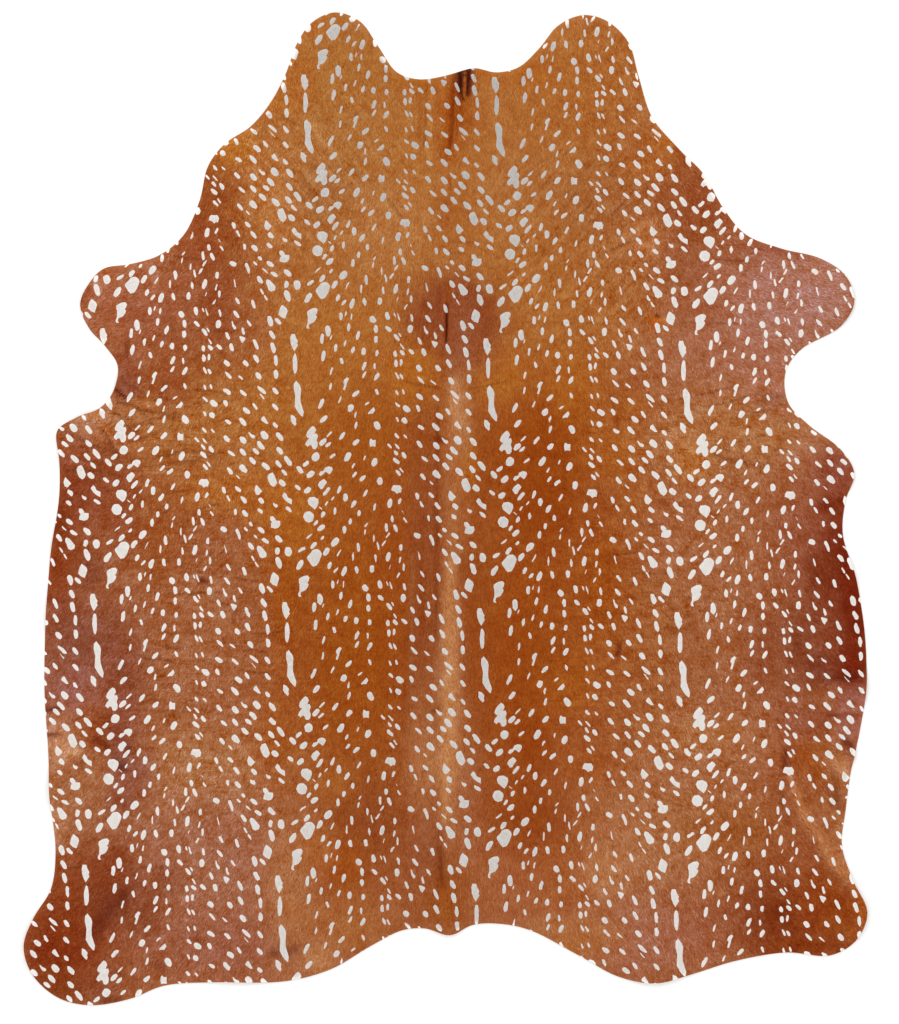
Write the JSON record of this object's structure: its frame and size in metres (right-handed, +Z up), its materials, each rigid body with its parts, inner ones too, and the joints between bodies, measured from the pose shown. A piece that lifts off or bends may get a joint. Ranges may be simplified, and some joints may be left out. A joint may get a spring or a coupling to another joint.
{
  "type": "cowhide rug",
  "caption": "Hair-on cowhide rug: a whole spread hide with neck, leg and tail outline, lying flat with low folds, brown with an off-white spotted print.",
  "frame": {"origin": "on the floor, under the middle of the hide's bounding box", "axes": "+Y along the spine toward the neck, +X to the right seen from above, +Z up out of the hair side"},
  "size_m": [1.8231, 2.148, 0.0134],
  "materials": {
    "hair": "short lying hair, satin",
    "print": "off-white printed hair, matte",
    "flesh": "buffed suede, matte"
  },
  "bodies": {
    "root": {"hide": "hair"}
  },
  "joints": []
}
